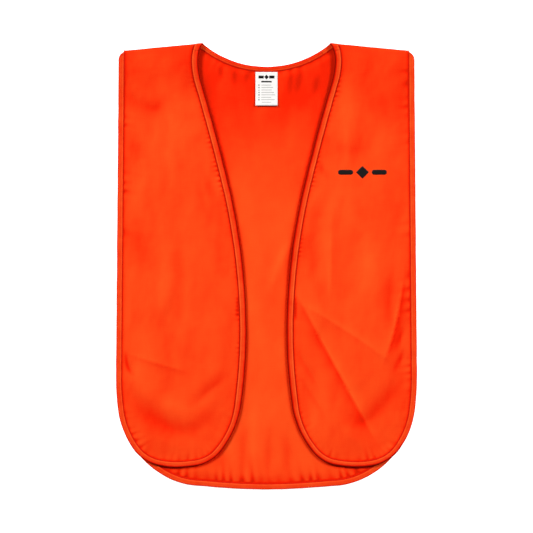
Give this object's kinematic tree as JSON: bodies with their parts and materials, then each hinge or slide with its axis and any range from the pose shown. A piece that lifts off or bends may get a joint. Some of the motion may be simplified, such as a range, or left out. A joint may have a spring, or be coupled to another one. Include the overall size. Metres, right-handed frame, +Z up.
{
  "type": "safety vest",
  "caption": "Sleeveless blaze orange field vest, open down the front and sides, with bound edges, a care label and a printed chest emblem, laid flat.",
  "frame": {"origin": "under the middle of the vest's outline, on the surface it lies on", "axes": "+X towards the wearer's left, +Y from the hem to the neck, +Z up out of the vest's front face as it lies"},
  "size_m": [0.518, 0.7675, 0.0081],
  "materials": {
    "shell_fabric": "satin plain-weave polyester",
    "binding_tape": "folded satin polyester tape",
    "thread": "twisted polyester thread",
    "label_ribbon": "smooth woven ribbon",
    "label_thread": "twisted polyester thread",
    "print_ink": "thin matt transfer print"
  },
  "bodies": {
    "back": {"back_panel": "shell_fabric", "back_neck_binding": "binding_tape", "back_neck_stitching": "thread", "back_hem_binding": "binding_tape", "back_hem_stitching": "thread", "left_back_side_binding": "binding_tape", "left_back_side_stitching": "thread", "right_back_side_binding": "binding_tape", "right_back_side_stitching": "thread", "left_shoulder_seam": "shell_fabric", "left_shoulder_stitching": "thread", "right_shoulder_seam": "shell_fabric", "right_shoulder_stitching": "thread", "care_label_stitching": "label_thread"},
    "care_label": {"care_label": "label_ribbon"},
    "left_front": {"left_front_panel": "shell_fabric", "left_front_opening_binding": "binding_tape", "left_front_opening_stitching": "thread", "left_front_hem_binding": "binding_tape", "left_front_hem_stitching": "thread", "left_front_side_binding": "binding_tape", "left_front_side_stitching": "thread", "chest_print": "print_ink"},
    "right_front": {"right_front_panel": "shell_fabric", "right_front_opening_binding": "binding_tape", "right_front_opening_stitching": "thread", "right_front_hem_binding": "binding_tape", "right_front_hem_stitching": "thread", "right_front_side_binding": "binding_tape", "right_front_side_stitching": "thread"}
  },
  "joints": [
    {"name": "left_shoulder_fold", "type": "hinge", "parent": "back", "child": "left_front", "pos_m": [0.1815, 0.37724, 0.004], "axis": [-0.9956, 0.0941, 0], "range_deg": [0, 180]},
    {"name": "right_shoulder_fold", "type": "hinge", "parent": "back", "child": "right_front", "pos_m": [-0.1815, 0.37724, 0.004], "axis": [-0.9956, -0.0941, 0], "range_deg": [0, 180]},
    {"name": "care_label_fold", "type": "hinge", "parent": "back", "child": "care_label", "pos_m": [0, 0.335, 0.00215], "axis": [-1, 0, 0], "range_deg": [0, 170]}
  ]
}
